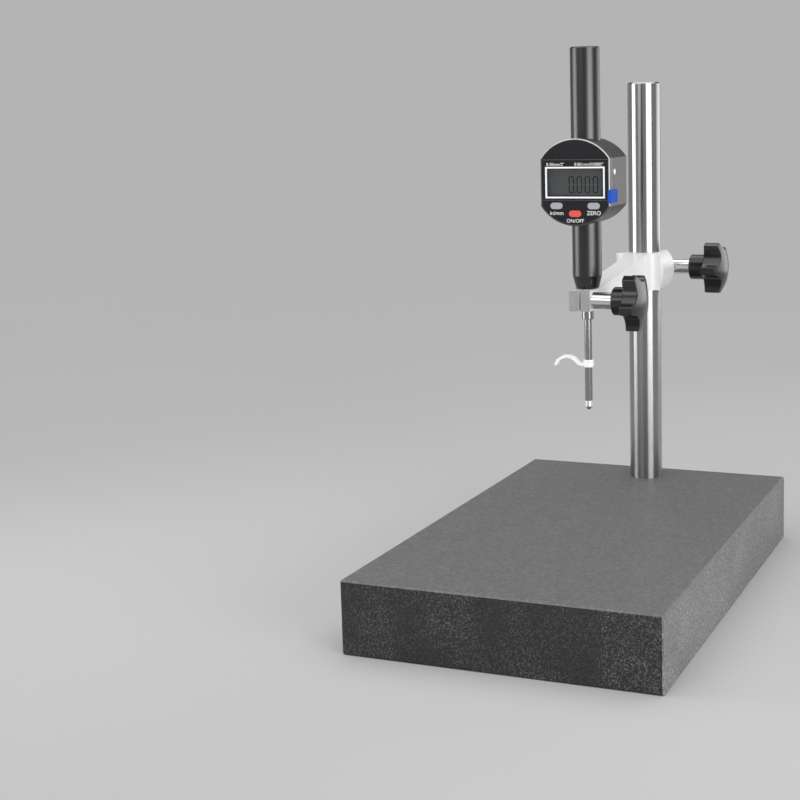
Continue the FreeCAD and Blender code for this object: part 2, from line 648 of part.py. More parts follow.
def front_bezel():
    bezel = case_block(0, CASE_FRONT_Y, SEAM_Y)
    bezel = bezel.makeChamfer(BEZEL_EDGE, edges_where(bezel, lambda c, e: c.y < CASE_FRONT_Y + FIT))
    bezel = bezel.makeChamfer(SEAM_EDGE, edges_where(bezel, lambda c, e: c.y > SEAM_Y - FIT))
    bezel = bezel.cut(case_block(CASE_WALL, FACE_WALL_Y, SEAM_Y))
    inner = CASE_WALL + FIT
    spigot = case_block(inner, SEAM_Y - SPIGOT_LENGTH, SEAM_Y + SPIGOT_LENGTH)
    spigot = spigot.cut(case_block(inner + SPIGOT_WALL, SEAM_Y - SPIGOT_LENGTH, SEAM_Y + SPIGOT_LENGTH))
    root = case_block(CASE_WALL - FIT, SEAM_Y - SPIGOT_LENGTH, SEAM_Y)
    root = root.cut(case_block(inner + SPIGOT_WALL, SEAM_Y - SPIGOT_LENGTH, SEAM_Y))
    posts = [cylinder_y(POST_DIAMETER, FACE_WALL_Y - FIT, BOARD_Y, x, z) for x, z in post_places()]
    bezel = bezel.fuse([spigot, root] + posts)
    plate = case_block(PLATE_MARGIN, CASE_FRONT_Y, CASE_FRONT_Y + PLATE_THICKNESS)
    lens_y = CASE_FRONT_Y + LENS_SET_BACK + LENS_THICKNESS
    lens = lcd_block(FIT, CASE_FRONT_Y, lens_y)
    sight = lcd_block(-LENS_LEDGE, CASE_FRONT_Y, FACE_WALL_Y)
    taps = [cylinder_y(SMALL_SCREW, BOARD_Y - SMALL_SCREW_GRIP, BOARD_Y, x, z) for x, z in post_places()]
    return bezel.cut([plate, lens, sight] + button_holes() + taps).removeSplitter()


def face_plate():
    plate = case_block(PLATE_MARGIN + FIT, CASE_FRONT_Y, CASE_FRONT_Y + PLATE_THICKNESS)
    frame_hole = lcd_block(LCD_FRAME + FIT, CASE_FRONT_Y, CASE_FRONT_Y + PLATE_THICKNESS)
    return plate.cut([frame_hole] + button_holes())


def lcd_frame():
    ring = lcd_block(LCD_FRAME, CASE_FRONT_Y - LCD_FRAME_PROUD, CASE_FRONT_Y + PLATE_THICKNESS)
    return ring.cut(lcd_block(FIT, CASE_FRONT_Y - LCD_FRAME_PROUD, CASE_FRONT_Y + PLATE_THICKNESS))


def lcd_lens():
    y = CASE_FRONT_Y + LENS_SET_BACK
    return lcd_block(0, y, y + LENS_THICKNESS)


def lcd_panel():
    return lcd_block(PANEL_MARGIN, FACE_WALL_Y, FACE_WALL_Y + PANEL_THICKNESS)


def push_button(x, z):
    """A cap that shows through the face, a flange behind the wall, and a stub for the contact mat."""
    cap = pill(BUTTON_WIDTH, BUTTON_HEIGHT, x, z, CASE_FRONT_Y - BUTTON_PROUD, FACE_WALL_Y)
    front = CASE_FRONT_Y - BUTTON_PROUD
    cap = cap.makeFillet(BUTTON_PROUD / 2, edges_where(cap, lambda c, e: c.y < front + FIT))
    flange_end = FACE_WALL_Y + BUTTON_FLANGE_THICKNESS
    flange = pill(BUTTON_WIDTH + 2 * BUTTON_FLANGE, BUTTON_HEIGHT + 2 * BUTTON_FLANGE, x, z,
                  FACE_WALL_Y, flange_end)
    mat_y = BOARD_Y - MAT_THICKNESS
    stub = cylinder_y(BUTTON_STUB, flange_end, mat_y - BUTTON_TRAVEL - RUNNING, x, z)
    return cap.fuse([flange, stub]).removeSplitter()


def button_mat():
    """The rubber contact mat: one round pad under each button, joined by a web on the board."""
    y = BOARD_Y - MAT_THICKNESS
    web_low = CASE_Z - POWER_BUTTON_DOWN - BUTTON_HEIGHT / 2
    web_high = CASE_Z - SIDE_BUTTON_DOWN + BUTTON_HEIGHT / 2
    web = box(-SIDE_BUTTON_X, SIDE_BUTTON_X, y + MAT_THICKNESS / 2, BOARD_Y, web_low, web_high)
    pads = []
    for x, z in button_places().values():
        pads.append(cylinder_y(BUTTON_HEIGHT, y, BOARD_Y, x, z))
    holes = [cylinder_y(POST_DIAMETER + 2 * LOOSE, y, BOARD_Y, x, z) for x, z in post_places()]
    return web.fuse(pads).common(case_block(BOARD_MARGIN, y, BOARD_Y)).cut(holes).removeSplitter()


# Electronics behind the face
def circuit_board():
    board = case_block(BOARD_MARGIN, BOARD_Y, BOARD_BACK_Y)
    holes = [cylinder_y(SMALL_SCREW + 2 * FIT, BOARD_Y, BOARD_BACK_Y, x, z) for x, z in post_places()]
    return board.cut(holes)


def board_screws():
    screws = []
    for x, z in post_places():
        shank = cylinder_y(SMALL_SCREW, BOARD_Y - SMALL_SCREW_GRIP, BOARD_BACK_Y, x, z)
        head = cylinder_y(SMALL_SCREW_HEAD, BOARD_BACK_Y, BOARD_BACK_Y + SMALL_SCREW_HEAD_HEIGHT, x, z)
        screws.append(shank.fuse(head).removeSplitter())
    return Part.makeCompound(screws)


def cell_holder():
    outer = cylinder_y(CELL_DIAMETER + 2 * CELL_HOLDER_WALL, BOARD_BACK_Y,
                       BOARD_BACK_Y + CELL_HOLDER_FLOOR + CELL_HEIGHT, CELL_X, CASE_Z + CELL_UP)
    pocket = cylinder_y(CELL_DIAMETER + 2 * FIT, BOARD_BACK_Y + CELL_HOLDER_FLOOR,
                        BOARD_BACK_Y + CELL_HOLDER_FLOOR + CELL_HEIGHT, CELL_X, CASE_Z + CELL_UP)
    return outer.cut(pocket)


def button_cell():
    y = BOARD_BACK_Y + CELL_HOLDER_FLOOR
    return cylinder_y(CELL_DIAMETER, y, y + CELL_HEIGHT, CELL_X, CASE_Z + CELL_UP)


def sensor_head():
    middle = CASE_Z + SENSOR_UP
    return box(-SENSOR_WIDTH / 2, SENSOR_WIDTH / 2, BOARD_BACK_Y, SCALE_Y - SCALE_THICKNESS - SENSOR_GAP,
               middle - SENSOR_HEIGHT / 2, middle + SENSOR_HEIGHT / 2)


def data_socket():
    inset = CASE_WALL + SPIGOT_WALL + LOOSE
    lowest = PORT_DOWN + SOCKET_HEIGHT / 2
    right = min(CASE_WIDTH / 2 - inset, math.sqrt((CASE_DIAMETER / 2 - inset) ** 2 - lowest ** 2))
    middle = CASE_Z - PORT_DOWN
    return box(right - SOCKET_WIDTH, right, BOARD_BACK_Y, BOARD_BACK_Y + SOCKET_DEPTH,
               middle - SOCKET_HEIGHT / 2, middle + SOCKET_HEIGHT / 2)


# Right side of the case: the sliding cover of the port, and a round plug
def port_stub(gap, reach):
    side = CASE_WIDTH / 2
    y = SEAM_Y + PORT_STUB_BEHIND_SEAM
    z = CASE_Z - PORT_DOWN
    return box(side - reach, side, y - gap, y + PORT_STUB_WIDTH + gap,
               z - PORT_STUB_HEIGHT / 2 - gap, z + PORT_STUB_HEIGHT / 2 + gap)


def port_cover():
    side = CASE_WIDTH / 2
    z = CASE_Z - PORT_DOWN
    half = PORT_HEIGHT / 2
    front = CASE_FRONT_Y - PORT_PROUD
    plate = box(side, side + PORT_PROUD, front, front + PORT_LENGTH, z - half, z + half)
    plate = plate.makeFillet(PORT_CORNER, edges_where(
        plate, lambda c, e: abs(c.x - side - PORT_PROUD / 2) < FIT and c.y > front + FIT))
    lip = box(side - PORT_FRONT_LIP, side + PORT_PROUD, front, CASE_FRONT_Y, z - half, z + half)
    head = plate.fuse(lip).removeSplitter()
    corner = edges_where(head, lambda c, e: abs(c.x - side - PORT_PROUD) < FIT and abs(c.y - front) < FIT)
    head = head.makeFillet(PORT_PROUD / 2, corner)
    return head.fuse(port_stub(0, PORT_STUB)).removeSplitter()


def plug_bar(gap, proud):
    side = CASE_WIDTH / 2
    y = SEAM_Y + PLUG_DIAMETER / 2 + LOOSE
    return cylinder_x(PLUG_DIAMETER + 2 * gap, side - CASE_WALL, side + proud, y, CASE_Z + PLUG_UP)


def side_plug():
    plug = plug_bar(0, PLUG_PROUD)
    return plug.makeFillet(PLUG_PROUD / 2, edges_where(
        plug, lambda c, e: c.x > CASE_WIDTH / 2 + PLUG_PROUD - FIT))


# Tubes and stem
def upper_tube():
    return tube_z(TUBE_DIAMETER, TUBE_BORE, UPPER_SEAT_Z, CAP_BOTTOM, 0, AXIS_Y)


def tube_cap():
    radius = TUBE_DIAMETER / 2
    spigot = TUBE_BORE / 2 - FIT
    return turned([(0, -CAP_SPIGOT), (spigot, -CAP_SPIGOT), (spigot, 0), (radius, 0),
                   (radius, CAP_THICKNESS - CAP_EDGE), (radius - CAP_EDGE, CAP_THICKNESS),
                   (0, CAP_THICKNESS)], 0, AXIS_Y, CAP_BOTTOM, "z")


def lower_sleeve():
    return tube_z(TUBE_DIAMETER, TUBE_BORE, NOSE_TOP, LOWER_SEAT_Z, 0, AXIS_Y)


def sleeve_nose():
    tip = NOSE_TIP_DIAMETER / 2
    nose = turned([(0, 0), (tip, 0), (TUBE_DIAMETER / 2, NOSE_HEIGHT), (0, NOSE_HEIGHT)],
                  0, AXIS_Y, NOSE_BOTTOM, "z")
    nose = nose.makeFillet(NOSE_EDGE, edges_where(nose, lambda c, e: is_arc(e) and c.z < NOSE_BOTTOM + FIT))
    return nose.cut(cylinder_z(STEM_DIAMETER + 2 * FIT, NOSE_BOTTOM, NOSE_TOP, 0, AXIS_Y))


def stem():
    bar = cylinder_z(STEM_DIAMETER, STEM_BOTTOM, NOSE_TOP + STEM_FLANGE, 0, AXIS_Y)
    bar = bar.makeChamfer(CAP_EDGE / 2, edges_where(bar, lambda c, e: c.z < STEM_BOTTOM + FIT))
    flange = cylinder_z(TUBE_BORE - 2 * FIT, NOSE_TOP, NOSE_TOP + STEM_FLANGE, 0, AXIS_Y)
    bore = cylinder_z(SPINDLE_DIAMETER + 2 * RUNNING, STEM_BOTTOM, NOSE_TOP + STEM_FLANGE, 0, AXIS_Y)
    return bar.fuse(flange).removeSplitter().cut(bore)


def upper_bush():
    ring = tube_z(TUBE_BORE - 2 * FIT, SPINDLE_DIAMETER + 2 * RUNNING, BUSH_BOTTOM, BUSH_TOP, 0, AXIS_Y)
    half = SCALE_WIDTH / 2 + LOOSE
    slot = box(-half, half, AXIS_Y - TUBE_BORE / 2, SCALE_Y + LOOSE, BUSH_BOTTOM, BUSH_TOP)
    return ring.cut(slot)


# Everything that travels with the spindle
def spindle():
    bar = cylinder_z(SPINDLE_DIAMETER, SPINDLE_BOTTOM, SPINDLE_TOP, 0, AXIS_Y)
    flange = cylinder_z(SPINDLE_FLANGE, SPINDLE_TOP - SPINDLE_FLANGE_HEIGHT, SPINDLE_TOP, 0, AXIS_Y)
    tap = cylinder_z(CONTACT_SHANK + 2 * FIT, SPINDLE_BOTTOM, SPINDLE_BOTTOM + CONTACT_SHANK_LENGTH, 0, AXIS_Y)
    return bar.fuse(flange).removeSplitter().cut(tap)


def scale_carrier():
    half = CARRIER_WIDTH / 2
    top = CARRIER_BOTTOM + CARRIER_HEIGHT
    block = box(-half, half, SCALE_Y, AXIS_Y + CARRIER_REAR, CARRIER_BOTTOM, top)
    fork = cylinder_z(2 * GUIDE_DIAMETER, CARRIER_BOTTOM, top, GUIDE_X, AXIS_Y)
    bridge = box(0, GUIDE_X, AXIS_Y - GUIDE_DIAMETER, AXIS_Y + GUIDE_DIAMETER, CARRIER_BOTTOM, top)
    hole = cylinder_z(SPINDLE_DIAMETER + 2 * FIT, CARRIER_BOTTOM, top, 0, AXIS_Y)
    slide = cylinder_z(GUIDE_DIAMETER + 2 * RUNNING, CARRIER_BOTTOM, top, GUIDE_X, AXIS_Y)
    return block.fuse([fork, bridge]).removeSplitter().cut([hole, slide])


def scale_strip():
    half = SCALE_WIDTH / 2
    return box(-half, half, SCALE_Y - SCALE_THICKNESS, SCALE_Y, CARRIER_BOTTOM, CARRIER_BOTTOM + SCALE_LENGTH)


def guide_rod():
    return cylinder_z(GUIDE_DIAMETER, LOWER_SHELF_Z - GUIDE_SEAT, UPPER_SHELF_Z + GUIDE_SEAT, GUIDE_X, AXIS_Y)


def return_spring():
    """A compression spring of flat wire, between the spindle's flange and the tube's cap."""
    rise = SPRING_TOP - SPINDLE_TOP - SPRING_WIRE_HEIGHT
    helix = Part.makeHelix(rise / SPRING_TURNS, rise, SPRING_RADIUS)
    inner = SPRING_RADIUS - SPRING_WIRE_WIDTH / 2
    outer = SPRING_RADIUS + SPRING_WIRE_WIDTH / 2
    half = SPRING_WIRE_HEIGHT / 2
    corners = [vec(inner, 0, -half), vec(outer, 0, -half), vec(outer, 0, half), vec(inner, 0, half)]
    section = Part.makePolygon(corners + [corners[0]])
    coil = Part.Wire(helix.Edges).makePipeShell([section], True, True)
    coil.translate(vec(0, AXIS_Y, SPINDLE_TOP + half))
    return coil


def lever_band(x, z, radius, start, end):
    """Part of a flat hoop about an axis along Y, from one angle to another, seen from the front."""
    inner = radius - LEVER_BAND / 2
    outer = radius + LEVER_BAND / 2
    y = AXIS_Y - LEVER_BAND_WIDTH / 2

    def at(distance, angle):
        turn = math.radians(angle)
        return vec(x + distance * math.cos(turn), y, z + distance * math.sin(turn))

    middle = (start + end) / 2
    outline = wire(
        arc(at(outer, start), at(outer, middle), at(outer, end)),
        line(at(outer, end), at(inner, end)),
        arc(at(inner, end), at(inner, middle), at(inner, start)),
        line(at(inner, start), at(outer, start)),
    )
    return Part.Face(outline).extrude(vec(0, LEVER_BAND_WIDTH, 0))


def lift_lever():
    """A clip round the spindle with a hooked finger lever to the left."""
    middle = LEVER_BOTTOM + LEVER_HEIGHT / 2
    clip = cylinder_z(LEVER_DIAMETER, LEVER_BOTTOM, LEVER_BOTTOM + LEVER_HEIGHT, 0, AXIS_Y)
    clip = clip.makeFillet(LEVER_EDGE, edges_where(clip, lambda c, e: is_arc(e)))
    hook_z = middle + LEVER_HOOK_UP
    turn = math.radians(LEVER_HOOK_START)
    away = LEVER_HOOK_RADIUS + LEVER_ROOT_RADIUS
    root_x = LEVER_HOOK_X + away * math.cos(turn)
    root_z = hook_z + away * math.sin(turn)
    hook = lever_band(LEVER_HOOK_X, hook_z, LEVER_HOOK_RADIUS, LEVER_HOOK_START, LEVER_HOOK_END)
    root = lever_band(root_x, root_z, LEVER_ROOT_RADIUS, 180 + LEVER_HOOK_START, LEVER_ROOT_END)
    end = math.radians(LEVER_HOOK_END)
    tip = cylinder_y(LEVER_BAND, AXIS_Y - LEVER_BAND_WIDTH / 2, AXIS_Y + LEVER_BAND_WIDTH / 2,
                     LEVER_HOOK_X + LEVER_HOOK_RADIUS * math.cos(end),
                     hook_z + LEVER_HOOK_RADIUS * math.sin(end))
    hole = cylinder_z(SPINDLE_DIAMETER + 2 * FIT, LEVER_BOTTOM, LEVER_BOTTOM + LEVER_HEIGHT, 0, AXIS_Y)
    return clip.fuse([hook, root, tip]).removeSplitter().cut(hole)


def contact_ball():
    centre = SPINDLE_BOTTOM - CONTACT_LENGTH - BALL_PROUD + BALL_RADIUS
    return Part.makeSphere(BALL_RADIUS, vec(0, AXIS_Y, centre))


def contact_point():
    wide = CONTACT_DIAMETER / 2
    tip = CONTACT_TIP_DIAMETER / 2
    shank = CONTACT_SHANK / 2
    body = turned([(0, -CONTACT_LENGTH), (tip, -CONTACT_LENGTH), (wide, wide - tip - CONTACT_LENGTH),
                   (wide, 0), (shank, 0), (shank, CONTACT_SHANK_LENGTH), (0, CONTACT_SHANK_LENGTH)],
                  0, AXIS_Y, SPINDLE_BOTTOM, "z")
    centre = SPINDLE_BOTTOM - CONTACT_LENGTH - BALL_PROUD + BALL_RADIUS
    return body.cut(Part.makeSphere(BALL_RADIUS + FIT, vec(0, AXIS_Y, centre)))


def build_parts():
    parts = {
        "granite_base": granite_base(),
        "column_washer": column_washer(),
        "column_bolt": column_bolt(),
        "column": column(),
        "arm_casting": arm_casting(),
        "case_shell": case_shell(),
        "front_bezel": front_bezel(),
        "face_plate": face_plate(),
        "lcd_frame": lcd_frame(),
        "lcd_lens": lcd_lens(),
        "lcd_panel": lcd_panel(),
        "button_mat": button_mat(),
        "circuit_board": circuit_board(),
        "board_screws": board_screws(),
        "cell_holder": cell_holder(),
        "button_cell": button_cell(),
        "sensor_head": sensor_head(),
        "data_socket": data_socket(),
        "back_cover": back_cover(),
        "cover_gasket": cover_gasket(),
        "cover_screws": cover_screws(),
        "port_cover": port_cover(),
        "side_plug": side_plug(),
        "upper_tube": upper_tube(),
        "tube_cap": tube_cap(),
        "upper_bush": upper_bush(),
        "lower_sleeve": lower_sleeve(),
        "sleeve_nose": sleeve_nose(),
        "stem": stem(),
        "guide_rod": guide_rod(),
        "spindle": spindle(),
        "scale_carrier": scale_carrier(),
        "scale_strip": scale_strip(),
        "return_spring": return_spring(),
        "lift_lever": lift_lever(),
        "contact_point": contact_point(),
        "contact_ball": contact_ball(),
    }
    for name, (x, z) in button_places().items():
        parts[name] = push_button(x, z)
    rear = clamp_set(REAR_STUD_DIAMETER, EAR_WIDTH / 2, REAR_SPACER, REAR_BOSS, REAR_RIM, REAR_DOME,
                     REAR_KNOB_TURN, REAR_CLAMP_Y, COLLAR_Z)
    front = clamp_set(FRONT_STUD_DIAMETER, ARM_WIDTH / 2, FRONT_SPACER, FRONT_BOSS, FRONT_RIM, FRONT_DOME,
                      FRONT_KNOB_TURN, FRONT_CLAMP_Y, BLOCK_Z)
    for place, clamp in (("rear", rear), ("front", front)):
        for piece, shape in zip(("stud", "knob_insert", "knob", "spacer"), clamp):
            parts[place + "_" + piece] = shape
    return parts


def main():
    os.makedirs("parts", exist_ok=True)
    for name, shape in build_parts().items():
        if not shape.isValid():
            print("not valid:", name)
        shape.exportStep("parts/" + name + ".step")
        print(name, len(shape.Solids), round(shape.Volume, 1))


main()
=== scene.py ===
import bpy
import math
from mathutils import Matrix, Vector

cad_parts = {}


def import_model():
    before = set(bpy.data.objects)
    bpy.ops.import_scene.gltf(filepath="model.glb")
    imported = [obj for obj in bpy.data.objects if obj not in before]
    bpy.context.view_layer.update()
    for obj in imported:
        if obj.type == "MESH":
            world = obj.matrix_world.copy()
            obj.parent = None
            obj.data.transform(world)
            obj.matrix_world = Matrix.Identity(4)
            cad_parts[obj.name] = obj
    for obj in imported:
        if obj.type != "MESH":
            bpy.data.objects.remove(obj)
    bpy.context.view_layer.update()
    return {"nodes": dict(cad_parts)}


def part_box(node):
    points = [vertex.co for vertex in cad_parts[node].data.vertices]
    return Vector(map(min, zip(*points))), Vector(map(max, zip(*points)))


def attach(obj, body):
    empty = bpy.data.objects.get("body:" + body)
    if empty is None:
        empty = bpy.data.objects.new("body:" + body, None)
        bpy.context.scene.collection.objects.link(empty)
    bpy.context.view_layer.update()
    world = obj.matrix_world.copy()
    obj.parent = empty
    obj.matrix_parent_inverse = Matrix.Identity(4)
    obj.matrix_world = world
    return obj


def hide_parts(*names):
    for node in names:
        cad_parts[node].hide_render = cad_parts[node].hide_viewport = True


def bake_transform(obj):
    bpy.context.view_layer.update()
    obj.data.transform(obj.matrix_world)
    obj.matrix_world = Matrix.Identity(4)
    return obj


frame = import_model()

# Looks of the dial indicator stand: camera, studio light and floor, materials for every CAD node, a copy of
# the return spring, and the printing and the display's digits as pieces on the indicator. Metres, +Z up.

# Camera, at the photograph's viewing angle
CAMERA_PLACE = Vector((0.3161, -0.9238, 0.3200))
CAMERA_DOWN = 0.144        # radians under the horizon
CAMERA_LEFT = 0.387        # radians to the left of +Y
CAMERA_ROLL = -0.021
CAMERA_LENS = 67.1         # mm
CAMERA_SENSOR = 36         # mm
CAMERA_NEAR = 0.01
CAMERA_SHIFT = (-0.125, -0.0875)

# Light
OBJECT_MIDDLE = Vector((0, 0, 0.20))
CEILING = 2.00             # strengths of the room's ceiling, its backdrop at the horizon and its walls
BACKDROP = 0.453
WALL = 0.15
BACKDROP_TO = 0.16         # sines of the elevations where one gives way to the next
WALL_FROM = 0.32
WALL_TO = 0.62
CEILING_FROM = 0.80
FLOOR_SIZE = 60
FLOOR_GREY = (0.42, 0.42, 0.42)
LAMPS = [
    # name, azimuth in degrees, distance, height, (width, height of the lamp), watts, spread in degrees
    ("right_box", -33, 0.84, 0.27, (0.64, 0.40), 1.4, 95),
    ("left_box", -158, 0.80, 0.27, (0.44, 0.40), 0.75, 95),
    ("rim_box", 54, 0.95, 0.27, (0.85, 0.40), 0.5, 95),
    ("front_box", -105, 1.3, 0.75, (0.60, 0.50), 2.4, 180),
]

# Materials
BLACK = (0.0, 0.0, 0.0)
WHITE = (1.0, 1.0, 1.0)
FINE_GRAIN = 0.00002       # depth of a plain finish's relief
BARE_DEPTH = 0.0004        # the clamp block is bare this far behind its front face
CHAMFER_FACING = (-0.8, -0.6)   # Y of the normals on the bezel's front chamfer
LIT_PATCH_FROM = 0.064          # the slab's front face is painted paler, a painted patch of light, from here to its right end
PLAIN_SPECKS = 0.22        # share of light grains that show on the slab's darker faces,
CLOUD_SPECKS = 0.55        # how much more of them show inside the clouds,
LIT_PATCH_SPECKS = 0.45         # and inside the front's painted patch of light

# Printing and digits
LIFT = 0.00002             # height of printed ink over the face
LABEL_DOWN = 0.0020        # label's middle under its button
ZERO_HEIGHT = 0.0026
POWER_HEIGHT = 0.0023
UNIT_HEIGHT = 0.0026
CAPITAL_SHARE = 0.7        # height of a capital letter over the font's size
SPEC_INSET = 0.0008        # printed row's ends to the display frame's ends
SPEC_DOWN = 0.0008         # printed row under the middle of its field
RANGE_HEIGHT = 0.0019
STEP_HEIGHT = 0.0018
LINE_WIDTH = 0.00016
UPPER_LINE_UP = 0.0146
LOWER_LINE_DOWN = 0.0113
DIGIT_HEIGHT = 0.0111
DIGIT_WIDTH = 0.0039
DIGIT_STEP = 0.00545
DIGIT_BAR = 0.0009
DIGIT_GAP = 0.00016
DIGIT_RIGHT = 0.0040       # last digit's right end to the window's right end
DIGIT_DROP = 0.0014
DISPLAY_TEXT = "0.000"

SEGMENTS = {
    "0": "abcdef", "1": "bc", "2": "abged", "3": "abgcd", "4": "fgbc",
    "5": "afgcd", "6": "afgedc", "7": "abc", "8": "abcdefg", "9": "abcdfg",
}


# Node helpers
class Nodes:
    """A material with one Principled shader, and short calls for the nodes in front of it."""

    def __init__(self, name, colour, roughness, metallic=0.0, **sockets):
        self.material = bpy.data.materials.new(name)
        self.material.use_nodes = True
        self.tree = self.material.node_tree
        self.shader = self.tree.nodes["Principled BSDF"]
        self.shader.inputs["Base Color"].default_value = (*colour, 1)
        self.shader.inputs["Roughness"].default_value = roughness
        self.shader.inputs["Metallic"].default_value = metallic
        for socket, value in sockets.items():
            self.shader.inputs[socket.replace("_", " ")].default_value = value
        self.place = self.add("ShaderNodeTexCoord").outputs["Object"]

    def add(self, kind, **values):
        node = self.tree.nodes.new(kind)
        for name, value in values.items():
            setattr(node, name, value)
        return node

    def link(self, source, target):
        self.tree.links.new(source, target)

    def stretched(self, scale):
        mapping = self.add("ShaderNodeMapping")
        mapping.inputs["Scale"].default_value = scale
        self.link(self.place, mapping.inputs["Vector"])
        return mapping.outputs["Vector"]

    def noise(self, scale, detail=4.0, roughness=0.55, stretch=None):
        node = self.add("ShaderNodeTexNoise")
        node.inputs["Scale"].default_value = scale
        node.inputs["Detail"].default_value = detail
        node.inputs["Roughness"].default_value = roughness
        self.link(self.stretched(stretch) if stretch else self.place, node.inputs["Vector"])
        return node.outputs["Fac"]

    def ramp(self, source, stops):
        node = self.add("ShaderNodeValToRGB")
        elements = node.color_ramp.elements
        while len(elements) < len(stops):
            elements.new(0.5)
        for element, (position, colour) in zip(elements, stops):
            element.position = position
            element.color = (*colour, 1)
        self.link(source, node.inputs["Fac"])
        return node.outputs["Color"]

    def mix(self, factor, first, second):
        node = self.add("ShaderNodeMix", data_type="RGBA")
        self.link(factor, node.inputs[0])
        for value, socket in ((first, node.inputs[6]), (second, node.inputs[7])):
            if isinstance(value, tuple):
                socket.default_value = (*value, 1)
            else:
                self.link(value, socket)
        return node.outputs[2]

    def math(self, operation, first, second=0.0):
        node = self.add("ShaderNodeMath", operation=operation)
        for value, socket in ((first, node.inputs[0]), (second, node.inputs[1])):
            if isinstance(value, (int, float)):
                socket.default_value = value
            else:
                self.link(value, socket)
        return node.outputs[0]

    def axis(self, source, name):
        node = self.add("ShaderNodeSeparateXYZ")
        self.link(source, node.inputs[0])
        return node.outputs[name]

    def rough(self, source, low, high):
        node = self.add("ShaderNodeMapRange")
        node.inputs["To Min"].default_value = low
        node.inputs["To Max"].default_value = high
        self.link(source, node.inputs["Value"])
        self.link(node.outputs["Result"], self.shader.inputs["Roughness"])

    def bump(self, source, strength, distance):
        node = self.add("ShaderNodeBump")
        node.inputs["Strength"].default_value = strength
        node.inputs["Distance"].default_value = distance
        self.link(source, node.inputs["Height"])
        self.link(node.outputs["Normal"], self.shader.inputs["Normal"])

    def colour(self, source):
        self.link(source, self.shader.inputs["Base Color"])


def shade(colour, factor):
    return tuple(channel * factor for channel in colour)


def mottled(name, colour, roughness, spread=0.12, scale=700.0, bump=0.05, **sockets):
    """A plain finish with a little variation in its colour, gloss and relief."""
    nodes = Nodes(name, colour, roughness, **sockets)
    field = nodes.noise(scale)
    nodes.colour(nodes.ramp(field, [(0.3, shade(colour, 1 - spread)), (0.7, shade(colour, 1 + spread))]))
    nodes.rough(nodes.noise(scale * 0.3), roughness * 0.85, roughness * 1.15)
    nodes.bump(field, bump, FINE_GRAIN)
    return nodes.material


def granite():
    """Granite: darker faces with grains in clouds, a top and a right side painted lighter as painted light,
    and a front painted paler towards its right end.
    """
    ground = (0.013, 0.013, 0.014)
    nodes = Nodes("granite", ground, 0.5, Specular_IOR_Level=0.5)
    fine = nodes.noise(1100.0, 3.0, 0.7)
    coarse = nodes.noise(420.0, 5.0, 0.75)
    cloud = nodes.ramp(nodes.noise(26.0, 4.0), [(0.42, BLACK), (0.62, WHITE)])
    grains = nodes.ramp(nodes.noise(950.0, 2.0, 0.6), [(0.50, BLACK), (0.66, WHITE)])
    clouded = nodes.math("ADD", nodes.math("MULTIPLY", cloud, CLOUD_SPECKS), PLAIN_SPECKS)
    # painted light: more light grains on the front face towards its right end paint a patch of light
    pale = nodes.math("GREATER_THAN", nodes.axis(nodes.place, "X"), LIT_PATCH_FROM)
    share = nodes.math("ADD", clouded, nodes.math("MULTIPLY", pale, LIT_PATCH_SPECKS))
    dark_ground = nodes.ramp(fine, [(0.35, shade(ground, 0.5)), (0.62, shade(ground, 1.5))])
    dark_face = nodes.mix(nodes.math("MULTIPLY", share, grains), dark_ground, (0.14, 0.14, 0.14))
    # painted light: the top gets a lighter colour than the other faces, standing in for the light and sheen
    # on it
    painted_lit_top = nodes.ramp(coarse, [(0.36, (0.078, 0.078, 0.080)), (0.50, (0.103, 0.103, 0.105)),
                                 (0.66, (0.150, 0.150, 0.152))])
    # painted light: the right side gets a paler colour, standing in for the key lamp's light falling on it
    painted_lit_side_ground = nodes.ramp(coarse, [(0.38, (0.060, 0.060, 0.062)), (0.62, (0.24, 0.24, 0.245))])
    painted_lit_side = nodes.mix(nodes.math("MULTIPLY", clouded, grains), painted_lit_side_ground, (0.50, 0.50, 0.51))
    facing = nodes.add("ShaderNodeNewGeometry").outputs["True Normal"]
    sideways = nodes.math("GREATER_THAN", nodes.axis(facing, "X"), 0.5)
    upward = nodes.math("GREATER_THAN", nodes.axis(facing, "Z"), 0.5)
    nodes.colour(nodes.mix(upward, nodes.mix(sideways, dark_face, painted_lit_side), painted_lit_top))
    nodes.rough(fine, 0.45, 0.6)
    nodes.bump(nodes.noise(1400.0, 2.0), 0.12, 0.00003)
    return nodes.material


def turned_steel(name, colour, roughness, rings=5200.0, relief=0.05, **sockets):
    """Ground or turned metal, with fine rings across Z that draw its highlights out along Z."""
    nodes = Nodes(name, colour, roughness, 1.0, **sockets)
    around = nodes.add("ShaderNodeTangent", direction_type="RADIAL", axis="Z")
    nodes.link(around.outputs[0], nodes.shader.inputs["Tangent"])
    lines = nodes.noise(1.0, 3.0, 0.6, stretch=(60.0, 60.0, rings))
    nodes.colour(nodes.ramp(lines, [(0.3, shade(colour, 0.93)), (0.7, shade(colour, 1.04))]))
    nodes.rough(lines, roughness * 0.9, roughness * 1.1)
    nodes.bump(lines, relief, 0.00001)
    return nodes.material


